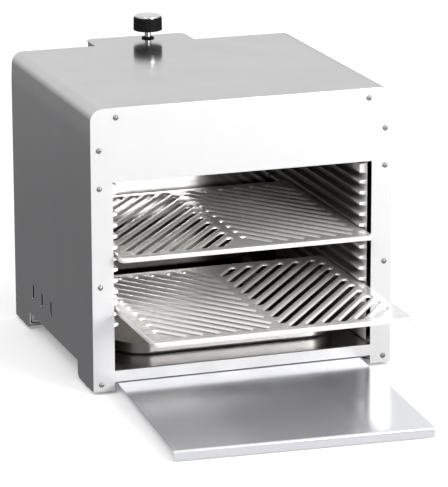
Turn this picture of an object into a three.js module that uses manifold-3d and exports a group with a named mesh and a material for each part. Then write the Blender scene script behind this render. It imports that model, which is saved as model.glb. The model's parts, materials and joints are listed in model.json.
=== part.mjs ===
// Tabletop top-heat broiler grill: a stainless steel cabinet with an open front, a gas-fired
// ceramic burner under its roof, two slotted grates on ribbed side guides, a drip pan and a base tray.
//
// Units are millimetres and +Z is up. Inside this file y = 0 is the outer face of the front panel,
// y grows towards the back, x = 0 is the middle of the cabinet and z = 0 is the table. The last lines
// move everything along y, so that the origin ends up at the middle of the whole part's footprint.

import * as THREE from 'three';
import { mergeVertices } from 'three/addons/utils/BufferGeometryUtils.js';
import Module from 'manifold-3d';

const wasm = await Module();
wasm.setup();

// ---------------------------------------------------------------- driving dimensions

const GAP = 0.3; // clearance between neighbouring pieces that touch
const SHEET = 1.5; // cabinet sheet thickness

const CABINET = { width: 420, depth: 388, top: 386, bottom: 4, corner: 16 };
const OPENING = { halfWidth: 180.5, bottom: 31, top: 287, railBottom: 16 };
const SIDE_CUT = { front: 75, back: 314, top: 27, chamfer: 6 };
const VENT = { count: 3, firstY: 204, pitch: 44.5, z: 62, width: 7, height: 22 };
const FLANGE = { width: 27, y: SHEET + GAP };
const FOOT = { x: 196, frontY: 42, backY: 346, padRadius: 12, neckRadius: 3.4, headRadius: 5.5, ledge: 23.5 };

const TONGUE = { left: -87, right: 60, back: 438, corner: 12 };
const HOUSING = { bottom: 246, flange: 13 };
const CONTROL = { y: 417, holeRadius: 7 };

const GUIDE = { x: 178.5, sheet: 1.2, front: 14, back: 375, top: 300, ribDepth: 9.5 };
const RIB = { count: 12, firstZ: 90, pitch: 15, halfBase: 3.4, halfTip: 2.2, topZ: 274, topHalf: 7.4 };

const GRATE = { width: 354, depth: 325, sheet: 1.5, lip: 6.2, border: 17, divider: 7, cornerRadius: 8 };
const SLOT = { width: 8.6, pitch: 18, angle: 52, shortest: 14 };
const UPPER_GRATE = { rib: 6, front: -22 };
const LOWER_GRATE = { rib: 1, front: -161 };

const PAN = { halfWidth: 155, front: 54, depth: 280, height: 19, wall: 1.4, corner: 43, rim: 8 };
const TRAY = { width: 342, length: 355, top: 15, sheet: 1.5, lip: 13.5, x: -22.8, y: -300, skewDeg: 3.2 };
const BRACKET = { inner: 148, outer: 205, top: TRAY.top - TRAY.sheet - 0.4, sheet: 1.2, length: 62 };

const FLOOR = { top: 31, halfWidth: 208.2 };
const REAR = { y: CABINET.depth - SHEET, top: CABINET.top - SHEET - GAP };
const BACK_WALL_Y = GUIDE.back + GAP;

const LEAD_PASSAGE = { left: 34, right: 60, bottom: 288, top: 300 };
const LEAD_Z = (LEAD_PASSAGE.bottom + LEAD_PASSAGE.top) / 2;

const TILE = { width: 132, depth: 92, thickness: 13, gap: 4, overlap: 5 };
const BURNER = { halfWidth: 146, front: 62, back: 268, bottom: 306, top: 350 };
const FRAME_BOTTOM = BURNER.bottom - GAP - SHEET;
const SCREEN = { top: FRAME_BOTTOM - GAP, sheet: 1.2, columns: 12, edge: 8, bar: 5 };
const SHIELD = { halfWidth: 190, front: 34, back: 372, bottom: BURNER.top + GAP, sheet: 1.2 };
const ELECTRODE = { x: 53, radius: 3.6, rod: 1.1, tab: 20 };
const TUBE = { z: 334, outerRadius: 12, innerRadius: 10.4, back: 397 };
const VALVE = { bottom: 316, top: 346, halfWidth: 17, halfDepth: 15 };
const SPRING = { bottom: 347, top: 364, coilRadius: 6, wireRadius: 0.7, turns: 5 };
const KNOB = { radius: 20.5, bottom: CABINET.top + 12, height: 19, capHeight: 2.4 };
const STEM = { radius: 4.4, bottom: 334, pushRoom: 4.5 };
const BEZEL = { radius: 9, rim: 1, height: 1.8, chamfer: 1.2 };
const PLUNGER = { radius: 3.4, length: 6.1 };
const PIEZO = { x: 23.5, radius: 6.2, bottom: 326.5, top: 350 };
const INLET = { x: -60, y: 420, bottom: 250, flange: 262, top: 276 };
const SCREW = { headRadius: 3.5, headHeight: 2, shankRadius: 1.9, length: 7, holeRadius: 2.2 };

const FRONT_SCREWS = [
  [175.5, 373.5],
  [199, 331],
  [199, 280],
  [199, 147],
  [199, 14],
];
const HOUSING_SCREW_Z = [262, 366];

const rad = THREE.MathUtils.degToRad;

// ---------------------------------------------------------------- finishes

function finish(color, roughness, metalness) {
  return new THREE.MeshStandardMaterial({ color, roughness, metalness });
}

const FINISH = {
  casing: finish(0xc4c5c6, 0.32, 1),
  front: finish(0xe6e7e8, 0.25, 1),
  inner: finish(0xb8b6b2, 0.28, 1),
  grate: finish(0xc8c8c6, 0.25, 1),
  tray: finish(0xb0b1b4, 0.15, 1),
  ceramic: finish(0xe8dcc6, 0.9, 0),
  brass: finish(0xb99a55, 0.35, 1),
  casting: finish(0x9a9b9d, 0.5, 1),
  plastic: finish(0x141414, 0.4, 0),
  chrome: finish(0xe8e8ea, 0.08, 1),
  rubber: finish(0x171717, 0.85, 0),
  screw: finish(0x8e8f92, 0.3, 1),
};

// ---------------------------------------------------------------- mesh helpers

// Drops every attribute but the position, joins equal corners and turns the faces outwards.
function clean(geometry) {
  const bare = new THREE.BufferGeometry();
  bare.setAttribute('position', geometry.getAttribute('position').clone());
  if (geometry.index) bare.setIndex(geometry.index.clone());
  const merged = mergeVertices(bare, 1e-4);
  const index = merged.index.array;
  const position = merged.getAttribute('position');
  const kept = [];
  let volume = 0;
  const [a, b, c] = [new THREE.Vector3(), new THREE.Vector3(), new THREE.Vector3()];
  for (let i = 0; i < index.length; i += 3) {
    const [p, q, r] = [index[i], index[i + 1], index[i + 2]];
    if (p === q || q === r || r === p) continue;
    kept.push([p, q, r]);
    a.fromBufferAttribute(position, p);
    b.fromBufferAttribute(position, q);
    c.fromBufferAttribute(position, r);
    volume += a.dot(b.cross(c));
  }
  const outward = volume < 0 ? kept.map(([p, q, r]) => [p, r, q]) : kept;
  merged.setIndex(outward.flat());
  merged.computeVertexNormals();
  return merged;
}

function toManifold(geometry) {
  const mesh = clean(geometry);
  return new wasm.Manifold(new wasm.Mesh({
    numProp: 3,
    vertProperties: new Float32Array(mesh.getAttribute('position').array),
    triVerts: new Uint32Array(mesh.index.array),
  }));
}

function fromManifold(manifold) {
  const mesh = manifold.getMesh();
  const geometry = new THREE.BufferGeometry();
  geometry.setAttribute('position', new THREE.BufferAttribute(new Float32Array(mesh.vertProperties), 3));
  geometry.setIndex(Array.from(mesh.triVerts));
  return clean(geometry);
}

// Joins the first list of geometries and cuts the second list from the result.
function combine(added, cut = []) {
  let body = toManifold(added[0]);
  for (const geometry of added.slice(1)) body = body.add(toManifold(geometry));
  for (const geometry of cut) body = body.subtract(toManifold(geometry));
  return fromManifold(body);
}

// ---------------------------------------------------------------- shape helpers

function box(x0, x1, y0, y1, z0, z1) {
  const geometry = new THREE.BoxGeometry(Math.abs(x1 - x0), Math.abs(y1 - y0), Math.abs(z1 - z0));
  return geometry.translate((x0 + x1) / 2, (y0 + y1) / 2, (z0 + z1) / 2);
}

function polygon(points) {
  return new THREE.Shape(points.map(([x, y]) => new THREE.Vector2(x, y)));
}

// A rectangle whose lower and upper corners may be rounded differently.
function roundedRect(x0, y0, x1, y1, lower, upper = lower) {
  const shape = new THREE.Shape();
  shape.moveTo(x0 + lower, y0);
  shape.lineTo(x1 - lower, y0);
  if (lower > 0) shape.absarc(x1 - lower, y0 + lower, lower, -Math.PI / 2, 0);
  shape.lineTo(x1, y1 - upper);
  if (upper > 0) shape.absarc(x1 - upper, y1 - upper, upper, 0, Math.PI / 2);
  shape.lineTo(x0 + upper, y1);
  if (upper > 0) shape.absarc(x0 + upper, y1 - upper, upper, Math.PI / 2, Math.PI);
  shape.lineTo(x0, y0 + lower);
  if (lower > 0) shape.absarc(x0 + lower, y0 + lower, lower, Math.PI, Math.PI * 1.5);
  return shape;
}

// A plate that lies flat: the shape is in x and y.
function flatPlate(shape, z0, z1, curveSegments = 4) {
  const options = { depth: z1 - z0, bevelEnabled: false, curveSegments };
  return new THREE.ExtrudeGeometry(shape, options).translate(0, 0, z0);
}

// A plate that stands across the cabinet: the shape is in x and z.
function crossPlate(shape, y0, y1, curveSegments = 4) {
  const options = { depth: y1 - y0, bevelEnabled: false, curveSegments };
  return new THREE.ExtrudeGeometry(shape, options).rotateX(Math.PI / 2).translate(0, y1, 0);
}

// A plate that stands along the cabinet: the shape is in y and z.
function sidePlate(shape, x0, x1, curveSegments = 4) {
  const options = { depth: x1 - x0, bevelEnabled: false, curveSegments };
  const turn = new THREE.Matrix4().makeBasis(
    new THREE.Vector3(0, 1, 0),
    new THREE.Vector3(0, 0, 1),
    new THREE.Vector3(1, 0, 0),
  );
  return new THREE.ExtrudeGeometry(shape, options).applyMatrix4(turn).translate(x0, 0, 0);
}

// A turned body. The profile is a list of [radius, height] that starts and ends on the axis, or closes.
function turnedZ(profile, x, y, segments = 16) {
  const points = profile.map(([r, h]) => new THREE.Vector2(r, h));
  return new THREE.LatheGeometry(points, segments).rotateX(Math.PI / 2).translate(x, y, 0);
}

function turnedY(profile, x, z, segments = 16) {
  const points = profile.map(([r, h]) => new THREE.Vector2(r, h));
  return new THREE.LatheGeometry(points, segments).translate(x, 0, z);
}

function rodZ(x, y, radius, z0, z1, segments = 8) {
  return turnedZ([[0, z0], [radius, z0], [radius, z1], [0, z1]], x, y, segments);
}

function rodY(x, z, radius, y0, y1, segments = 8) {
  return turnedY([[0, y0], [radius, y0], [radius, y1], [0, y1]], x, z, segments);
}

// A round tube or wire swept along a smooth curve through the points.
function swept(points, radius, steps, sides = 8) {
  const section = new THREE.Shape();
  section.absarc(0, 0, radius, 0, Math.PI * 2);
  const places = points.map((point) => new THREE.Vector3(...point));
  const extrudePath = new THREE.CatmullRomCurve3(places, false, 'centripetal');
  return new THREE.ExtrudeGeometry(section, { steps, extrudePath, curveSegments: sides / 2 });
}

const model = new THREE.Group();

function add(name, geometry, material, parent = model) {
  const mesh = new THREE.Mesh(clean(geometry), material);
  mesh.name = name;
  parent.add(mesh);
  return mesh;
}

// ---------------------------------------------------------------- cabinet

// The cabinet outline seen from the front, moved inwards by an offset; it is open at the bottom.
function cabinetOutline(inset, bottom) {
  const half = CABINET.width / 2 - inset;
  return roundedRect(-half, bottom, half, CABINET.top - inset, 0, CABINET.corner - inset);
}

function sideCutOutline() {
  const { front, back, top, chamfer } = SIDE_CUT;
  const low = CABINET.bottom - 1;
  return polygon([
    [front - chamfer, low],
    [back + chamfer, low],
    [back + chamfer, CABINET.bottom],
    [back, CABINET.bottom + chamfer],
    [back, top],
    [front, top],
    [front, CABINET.bottom + chamfer],
    [front - chamfer, CABINET.bottom],
  ]);
}

function ventOutline(y) {
  const [w, h] = [VENT.width / 2, VENT.height / 2];
  return roundedRect(y - w, VENT.z - h, y + w, VENT.z + h, w);
}

// One wrapped sheet: left side, roof and right side, with a front flange, foot ledges and the
// rounded roof tongue that covers the valve housing.
function outerCasing() {
  const half = CABINET.width / 2;
  const below = CABINET.bottom - 10;
  const wrap = crossPlate(cabinetOutline(0, CABINET.bottom), FLANGE.y, CABINET.depth);
  const hollow = crossPlate(cabinetOutline(SHEET, below), 0, CABINET.depth + 10);
  const shell = combine([wrap], [hollow]);

  const flange = crossPlate(cabinetOutline(0.2, CABINET.bottom), FLANGE.y, FLANGE.y + SHEET);
  const window = crossPlate(
    roundedRect(-half + FLANGE.width, below, half - FLANGE.width, CABINET.top - FLANGE.width, 0, 6),
    0,
    10,
  );
  const roof = flatPlate(
    roundedRect(TONGUE.left, CABINET.depth - 20, TONGUE.right, TONGUE.back, 0, TONGUE.corner),
    CABINET.top - SHEET,
    CABINET.top,
  );
  const parts = [shell, combine([flange], [window]), roof];
  const cuts = [rodZ(0, CONTROL.y, CONTROL.holeRadius, CABINET.top - 10, CABINET.top + 10, 16)];
  cuts.push(sidePlate(sideCutOutline(), -half - 5, half + 5));
  for (const side of [-1, 1]) {
    const [x0, x1] = [side * (half - FOOT.ledge), side * (half - SHEET / 2)];
    for (const [y0, y1, footY] of [
      [FLANGE.y, SIDE_CUT.front - SIDE_CUT.chamfer, FOOT.frontY],
      [SIDE_CUT.back + SIDE_CUT.chamfer, CABINET.depth, FOOT.backY],
    ]) {
      parts.push(box(x0, x1, y0, y1, CABINET.bottom, CABINET.bottom + SHEET));
      cuts.push(rodZ(side * FOOT.x, footY, FOOT.neckRadius + GAP, 0, 10));
    }
  }
  for (let i = 0; i < VENT.count; i++) {
    cuts.push(sidePlate(ventOutline(VENT.firstY + i * VENT.pitch), -half - 5, half + 5, 2));
  }
  for (const [x, z] of frontScrewPlaces()) {
    cuts.push(rodY(x, z, SCREW.holeRadius, 0, 10));
  }
  return combine(parts, cuts);
}

function frontScrewPlaces() {
  return FRONT_SCREWS.flatMap(([x, z]) => [[-x, z], [x, z]]);
}

// The front frame: header, two jambs and the rail over the tray slot.
function frontPanel() {
  const outline = cabinetOutline(0, CABINET.bottom);
  const { halfWidth, bottom, top, railBottom } = OPENING;
  outline.holes.push(roundedRect(-halfWidth, bottom, halfWidth, top, 0));
  const slot = box(-halfWidth, halfWidth, -5, 5, 0, railBottom);
  const holes = frontScrewPlaces().map(([x, z]) => rodY(x, z, SCREW.holeRadius, -5, 5));
  return combine([crossPlate(outline, 0, SHEET)], [slot, ...holes]);
}

// The back plate sits inside the wrap; holes let the mixing tube and the leads through.
function rearPanel() {
  const inset = SHEET + GAP;
  const half = CABINET.width / 2 - inset;
  const outline = roundedRect(-half, FLOOR.top - 4, half, REAR.top, 0, CABINET.corner - inset);
  const y0 = REAR.y;
  const cuts = [rodY(0, TUBE.z, TUBE.outerRadius + 2, y0 - 5, y0 + 5, 16)];
  const { left, right, bottom, top } = LEAD_PASSAGE;
  cuts.push(box(left, right, y0 - 5, y0 + 5, bottom, top));
  for (const side of [-1, 1]) {
    for (let i = 0; i < 5; i++) {
      const x = side * (70 + i * 26);
      cuts.push(crossPlate(roundedRect(x - 3, 60, x + 3, 100, 3), y0 - 5, y0 + 5, 2));
    }
  }
  for (const [x, z] of housingScrewPlaces()) {
    cuts.push(rodY(x, z, SCREW.holeRadius, y0 - 5, y0 + 5));
  }
  return combine([crossPlate(outline, y0, CABINET.depth)], cuts);
}

function floorPanel() {
  const { top, halfWidth } = FLOOR;
  const y0 = FLANGE.y + SHEET + GAP;
  const y1 = REAR.y - GAP;
  const z0 = top - SHEET;
  const plate = box(-halfWidth, halfWidth, y0, y1, z0, top);
  const fold = (side) => box(side * (halfWidth - SHEET), side * halfWidth, y0, y1, z0, top + 10);
  return combine([plate, fold(-1), fold(1)]);
}

function rubberFoot(x, y) {
  const low = CABINET.bottom - GAP;
  const high = CABINET.bottom + SHEET + GAP;
  return turnedZ(
    [
      [0, 0],
      [FOOT.padRadius - 1, 0],
      [FOOT.padRadius, 1],
      [FOOT.padRadius, low],
      [FOOT.neckRadius, low],
      [FOOT.neckRadius, high],
      [FOOT.headRadius, high],
      [FOOT.neckRadius - 1, high + 3],
      [0, high + 3],
    ],
    x,
    y,
    12,
  );
}

// A screw with a domed head; its shank points along +y or, for the rear, along -y.
function screw(x, z, y, direction) {
  const { headRadius, headHeight, shankRadius, length } = SCREW;
  const profile = [
    [0, -headHeight],
    [headRadius * 0.6, -headHeight * 0.9],
    [headRadius, -headHeight * 0.35],
    [headRadius, 0],
    [shankRadius, 0],
    [shankRadius, length],
    [0, length],
  ];
  return turnedY(profile.map(([r, h]) => [r, y + direction * h]), x, z, 8);
}

function buildCabinet() {
  add('outer_casing', outerCasing(), FINISH.casing);
  add('front_panel', frontPanel(), FINISH.front);
  add('rear_panel', rearPanel(), FINISH.casing);
  add('floor_panel', floorPanel(), FINISH.inner);
  for (const [end, y] of [['front', FOOT.frontY], ['rear', FOOT.backY]]) {
    add(`foot_${end}_left`, rubberFoot(-FOOT.x, y), FINISH.rubber);
    add(`foot_${end}_right`, rubberFoot(FOOT.x, y), FINISH.rubber);
  }
  FRONT_SCREWS.forEach(([x, z], i) => {
    add(`front_screw_left_${i + 1}`, screw(-x, z, -GAP, 1), FINISH.screw);
    add(`front_screw_right_${i + 1}`, screw(x, z, -GAP, 1), FINISH.screw);
  });
}

// ---------------------------------------------------------------- cooking space

function ribHeights() {
  const ribs = [];
  for (let i = 0; i < RIB.count; i++) {
    ribs.push({ z: RIB.firstZ + i * RIB.pitch, base: RIB.halfBase, tip: RIB.halfTip });
  }
  ribs.push({ z: RIB.topZ, base: RIB.topHalf, tip: RIB.topHalf - 1.2 });
  return ribs;
}

// One side guide: an upright sheet with pressed ribs, folded outwards at the top and the bottom.
function rackGuide(side) {
  const { x, sheet, ribDepth, front, back, top } = GUIDE;
  const bottom = FLOOR.top + GAP;
  const inner = [[x, bottom]];
  const outer = [[x + 14, bottom], [x + 14, bottom + sheet], [x + sheet, bottom + sheet]];
  for (const { z, base, tip } of ribHeights()) {
    const depth = x - ribDepth;
    inner.push([x, z - base], [depth + 2, z - tip - 0.6], [depth, z - tip + 0.9]);
    inner.push([depth, z + tip - 0.9], [depth + 2, z + tip + 0.6], [x, z + base]);
    outer.push([x + sheet, z - base + 0.9], [depth + 2 + sheet, z - tip + 0.6]);
    outer.push([depth + 2 + sheet, z + tip - 0.6], [x + sheet, z + base - 0.9]);
  }
  inner.push([x, top], [x + 14, top], [x + 14, top - sheet], [x + sheet, top - sheet]);
  const outline = [...inner, ...outer.reverse()];
  return crossPlate(polygon(outline.map(([px, pz]) => [side * px, pz])), front, back);
}

// The wall behind the grates has a notch in its top edge for the leads.
function backWall() {
  const half = GUIDE.x + 16;
  const plate = box(-half, half, BACK_WALL_Y, BACK_WALL_Y + GUIDE.sheet, FLOOR.top + GAP, GUIDE.top);
  const { left, right, bottom } = LEAD_PASSAGE;
  return combine([plate], [box(left, right, BACK_WALL_Y - 5, BACK_WALL_Y + 5, bottom, GUIDE.top + 5)]);
}

function stadium(x, y, angle, halfLength, radius) {
  const shape = new THREE.Path();
  const [cx, cy] = [Math.cos(angle) * halfLength, Math.sin(angle) * halfLength];
  shape.absarc(x + cx, y + cy, radius, angle - Math.PI / 2, angle + Math.PI / 2);
  shape.absarc(x - cx, y - cy, radius, angle + Math.PI / 2, angle + Math.PI * 1.5);
  return shape;
}

// Parallel slanted slots that fill one half of a grate, from the divider to the border. The slant is
// mirrored for the left half, and `lean` says whether the right half leans right or left.
function slotRow(side, lean) {
  const angle = rad(SLOT.angle);
  const direction = [Math.cos(angle) * lean, Math.sin(angle)];
  const low = [GRATE.divider, GRATE.border];
  const high = [GRATE.width / 2 - GRATE.border, GRATE.depth - GRATE.border];
  const centre = [(low[0] + high[0]) / 2, (low[1] + high[1]) / 2];
  const slots = [];
  const rows = Math.ceil(GRATE.depth / SLOT.pitch);
  for (let i = -rows; i <= rows; i++) {
    const start = [
      centre[0] + direction[1] * i * SLOT.pitch,
      centre[1] - direction[0] * i * SLOT.pitch,
    ];
    let [from, to] = [-Infinity, Infinity];
    for (const k of [0, 1]) {
      const ends = [low[k], high[k]].map((limit) => (limit - start[k]) / direction[k]);
      from = Math.max(from, Math.min(...ends));
      to = Math.min(to, Math.max(...ends));
    }
    const radius = SLOT.width / 2;
    const half = (to - from) / 2 - radius;
    if (half * 2 < SLOT.shortest) continue;
    const middle = (from + to) / 2;
    const x = side * (start[0] + direction[0] * middle);
    const y = start[1] + direction[1] * middle;
    slots.push(stadium(x, y, Math.atan2(direction[1], side * direction[0]), half, radius));
  }
  return slots;
}

// A pressed grate: a thin plate with a herringbone of slots and a folded lip all round.
function grate(lean, place) {
  const { width, depth, sheet, lip, cornerRadius } = GRATE;
  const bottom = RIB.firstZ + place.rib * RIB.pitch + RIB.halfBase + 0.4;
  const outline = roundedRect(-width / 2, 0, width / 2, depth, cornerRadius);
  const face = roundedRect(-width / 2, 0, width / 2, depth, cornerRadius);
  face.holes.push(...slotRow(1, lean), ...slotRow(-1, lean));
  const half = width / 2 - sheet;
  const inner = roundedRect(-half, sheet, half, depth - sheet, cornerRadius - sheet);
  const lipRing = combine(
    [flatPlate(outline, bottom, bottom + lip, 2)],
    [flatPlate(inner, bottom - 5, bottom + lip + 5, 2)],
  );
  const plate = flatPlate(face, bottom + lip - sheet, bottom + lip, 2);
  return combine([lipRing, plate]).translate(0, place.front, 0);
}

function panOutline(grow) {
  const half = PAN.halfWidth + grow;
  return roundedRect(-half, PAN.front - grow, half, PAN.front + PAN.depth + grow, PAN.corner + grow);
}

function dripPan() {
  const bottom = FLOOR.top + GAP;
  const top = bottom + PAN.height;
  const body = flatPlate(panOutline(0), bottom, top);
  const rim = flatPlate(panOutline(PAN.rim), top - PAN.wall, top);
  const hollow = flatPlate(panOutline(-PAN.wall), bottom + PAN.wall, top + 5);
  return combine([body, rim], [hollow]);
}

// The base tray's own frame: the middle of its front edge is at the origin.
function baseTray() {
  const half = TRAY.width / 2;
  const plate = box(-half, half, 0, TRAY.length, TRAY.top - TRAY.sheet, TRAY.top);
  const lip = box(-half, half, 0, TRAY.sheet, TRAY.top - TRAY.lip, TRAY.top);
  return combine([plate, lip]);
}

// A folded bracket under the floor that carries one end of one edge of the base tray.
function trayBracket(side, y0) {
  const { inner, outer, top, sheet, length } = BRACKET;
  const high = FLOOR.top - SHEET - GAP;
  const outline = polygon([
    [side * inner, top - sheet],
    [side * outer, top - sheet],
    [side * outer, high],
    [side * (outer - 18), high],
    [side * (outer - 18), high - sheet],
    [side * (outer - sheet), high - sheet],
    [side * (outer - sheet), top],
    [side * inner, top],
  ]);
  return crossPlate(outline, y0, y0 + length);
}

function buildCookingSpace() {
  add('rack_guide_left', rackGuide(-1), FINISH.inner);
  add('rack_guide_right', rackGuide(1), FINISH.inner);
  add('inner_back_wall', backWall(), FINISH.inner);
  add('upper_grate', grate(-1, UPPER_GRATE), FINISH.grate);
  add('lower_grate', grate(1, LOWER_GRATE), FINISH.grate);
  add('drip_pan', dripPan(), FINISH.inner);

  // The tray has been drawn out a little askew, which its loose slot allows.
  const skew = new THREE.Group();
  skew.position.set(TRAY.x, TRAY.y, 0);
  skew.rotation.z = -rad(TRAY.skewDeg);
  model.add(skew);
  add('base_tray', baseTray(), FINISH.tray, skew);

  const rearY = CABINET.depth - BRACKET.length - 8;
  for (const [side, label] of [[-1, 'left'], [1, 'right']]) {
    add(`tray_bracket_front_${label}`, trayBracket(side, 9), FINISH.inner);
    add(`tray_bracket_rear_${label}`, trayBracket(side, rearY), FINISH.inner);
  }
}

// ---------------------------------------------------------------- burner

function tileCentres() {
  const x = (TILE.width + TILE.gap) / 2;
  const y = (TILE.depth + TILE.gap) / 2;
  const middle = (BURNER.front + BURNER.back) / 2;
  return [[-x, middle - y], [x, middle - y], [-x, middle + y], [x, middle + y]];
}

// The gas box over the tiles: a pan upside down with a round inlet at the back.
function burnerBox() {
  const { halfWidth, front, back, bottom, top } = BURNER;
  const outer = box(-halfWidth, halfWidth, front, back, bottom, top);
  const inner = box(-halfWidth + 1.2, halfWidth - 1.2, front + 1.2, back - 1.2, bottom - 5, top - 1.2);
  const inlet = rodY(0, TUBE.z, TUBE.outerRadius + GAP, back - 10, back + 10, 16);
  return combine([outer], [inner, inlet]);
}

// The frame that holds the tiles up against the gas box, with one window for each tile and a tab
// behind it for the spark electrode.
function tileFrame() {
  const { halfWidth, front, back } = BURNER;
  const [z0, z1] = [FRAME_BOTTOM, FRAME_BOTTOM + SHEET];
  const plate = box(-halfWidth, halfWidth, front, back, z0, z1);
  const { x: tabX, tab } = ELECTRODE;
  const tongue = box(tabX - tab / 2, tabX + tab / 2, back - 1, back + tab, z0, z1);
  const windows = tileCentres().map(([x, y]) => {
    const [w, d] = [TILE.width / 2 - TILE.overlap, TILE.depth / 2 - TILE.overlap];
    return box(x - w, x + w, y - d, y + d, z0 - 10, z1 + 10);
  });
  return combine([plate, tongue], windows);
}

function tile(x, y) {
  const bottom = BURNER.bottom;
  const [w, d] = [TILE.width / 2, TILE.depth / 2];
  const outline = roundedRect(x - w, y - d, x + w, y + d, 1.5);
  return flatPlate(outline, bottom, bottom + TILE.thickness, 2);
}

// The plate over the burner. Its side folds stand on the top flanges of the rack guides.
function heatShield() {
  const { halfWidth, front, back, bottom, sheet } = SHIELD;
  const top = bottom + sheet;
  const plate = box(-halfWidth, halfWidth, front, back, bottom, top);
  const low = GUIDE.top + GAP;
  const fold = (side) => box(side * (halfWidth - sheet), side * halfWidth, front, back, low, top);
  return combine([plate, fold(-1), fold(1)]);
}

// A coarse screen of slots below the tiles.
function radiantScreen() {
  const { halfWidth, front, back } = BURNER;
  const { top, sheet, columns, edge, bar } = SCREEN;
  const outline = roundedRect(-halfWidth, front, halfWidth, back, 2);
  const pitch = 2 * (halfWidth - edge) / columns;
  const radius = (pitch - bar) / 2;
  const middle = (front + back) / 2;
  for (let i = 0; i < columns; i++) {
    const x = -halfWidth + edge + (i + 0.5) * pitch;
    outline.holes.push(stadium(x, middle, Math.PI / 2, back - middle - edge - radius, radius));
  }
  return flatPlate(outline, top - sheet, top, 3);
}

function mixingTube() {
  const front = BURNER.back - 6;
  const { outerRadius, innerRadius, back, z } = TUBE;
  const profile = [
    [innerRadius, front],
    [outerRadius, front],
    [outerRadius, back - 8],
    [outerRadius + 3, back],
    [innerRadius + 3, back],
    [innerRadius, back - 8],
    [innerRadius, front],
  ];
  return turnedY(profile, 0, z, 16);
}

function buildBurner() {
  add('burner_box', burnerBox(), FINISH.casting);
  add('tile_frame', tileFrame(), FINISH.casting);
  tileCentres().forEach(([x, y], i) => add(`burner_tile_${i + 1}`, tile(x, y), FINISH.ceramic));
  add('radiant_screen', radiantScreen(), FINISH.casting);
  add('heat_shield', heatShield(), FINISH.inner);
  add('mixing_tube', mixingTube(), FINISH.casting);
}

// ---------------------------------------------------------------- gas control

function housingScrewPlaces() {
  const inset = HOUSING.flange / 2;
  return [TONGUE.left - inset, TONGUE.right + inset].flatMap((x) => HOUSING_SCREW_Z.map((z) => [x, z]));
}

// The box behind the cabinet that hides the gas valve: round corners, open below and towards the
// cabinet, closed above by the roof tongue.
function valveHousing() {
  const front = CABINET.depth + GAP;
  const top = REAR.top;
  const inset = 1;
  const [left, right, back] = [TONGUE.left + inset, TONGUE.right - inset, TONGUE.back - inset];
  const corner = TONGUE.corner - inset;
  const outer = flatPlate(roundedRect(left, front, right, back, 0, corner), HOUSING.bottom, top);
  const inner = flatPlate(
    roundedRect(left + SHEET, front - 5, right - SHEET, back - SHEET, 0, corner - SHEET),
    HOUSING.bottom - 5,
    top + 5,
  );
  const flange = HOUSING.flange;
  const leftFlange = box(left - flange, left + 1, front, front + SHEET, HOUSING.bottom, top);
  const rightFlange = box(right - 1, right + flange, front, front + SHEET, HOUSING.bottom, top);
  const holes = housingScrewPlaces().map(([x, z]) => rodY(x, z, SCREW.holeRadius, front - 5, front + 5));
  return combine([combine([outer], [inner]), leftFlange, rightFlange], holes);
}

// The valve body with its bored neck for the stem, carried on a bracket from the back plate.
function gasValve() {
  const { bottom, top, halfWidth, halfDepth } = VALVE;
  const y = CONTROL.y;
  const block = box(-halfWidth, halfWidth, y - halfDepth, y + halfDepth, bottom, top);
  const boreBottom = STEM.bottom - PLUNGER.length - STEM.pushRoom;
  const bore = rodZ(0, y, STEM.radius + 0.4, boreBottom, top + 5, 16);
  const nose = rodY(0, TUBE.z, 5, y - halfDepth - 2, y - halfDepth + 2);
  return combine([block, nose], [bore]);
}

function valveBracket() {
  const y0 = CABINET.depth + GAP;
  const z1 = VALVE.bottom - GAP;
  const shelf = box(-VALVE.halfWidth, VALVE.halfWidth, y0, CONTROL.y + VALVE.halfDepth, z1 - 2, z1);
  const upright = box(-VALVE.halfWidth, VALVE.halfWidth, y0, y0 + 2, z1 - 30, z1);
  return combine([shelf, upright]);
}

function gasJet() {
  const face = CONTROL.y - VALVE.halfDepth - 2 - GAP;
  const tip = face - 5;
  const nut = face - 2.4;
  const profile = [[0, tip], [2.5, tip], [3.2, nut], [6, nut], [6, face], [0, face]];
  return turnedY(profile, 0, TUBE.z, 6);
}

// The plunger under the stem; the bore leaves room below it for the push.
function valvePlunger() {
  const top = STEM.bottom - GAP;
  return rodZ(0, CONTROL.y, PLUNGER.radius, top - PLUNGER.length, top, 12);
}

function returnSpring() {
  const { bottom, top, coilRadius, wireRadius, turns } = SPRING;
  const stepsPerTurn = 8;
  const points = [];
  for (let i = 0; i <= turns * stepsPerTurn; i++) {
    const turn = (i / stepsPerTurn) * Math.PI * 2;
    const z = bottom + wireRadius + ((top - bottom - 2 * wireRadius) * i) / (turns * stepsPerTurn);
    points.push([Math.cos(turn) * coilRadius, CONTROL.y + Math.sin(turn) * coilRadius, z]);
  }
  return swept(points, wireRadius, turns * stepsPerTurn, 6);
}

// The stem turns with the knob; its collar sits on the return spring.
function valveStem() {
  const collar = SPRING.top + GAP;
  const top = KNOB.bottom + 11;
  const profile = [
    [0, STEM.bottom],
    [STEM.radius, STEM.bottom],
    [STEM.radius, collar],
    [7.5, collar],
    [7.5, collar + 2],
    [STEM.radius, collar + 2],
    [STEM.radius, top],
    [0, top],
  ];
  const { y } = CONTROL;
  const flat = box(STEM.radius - 1, STEM.radius + 2, y - 6, y + 6, KNOB.bottom + 1, top + 1);
  return combine([turnedZ(profile, 0, y, 16)], [flat]);
}

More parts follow.
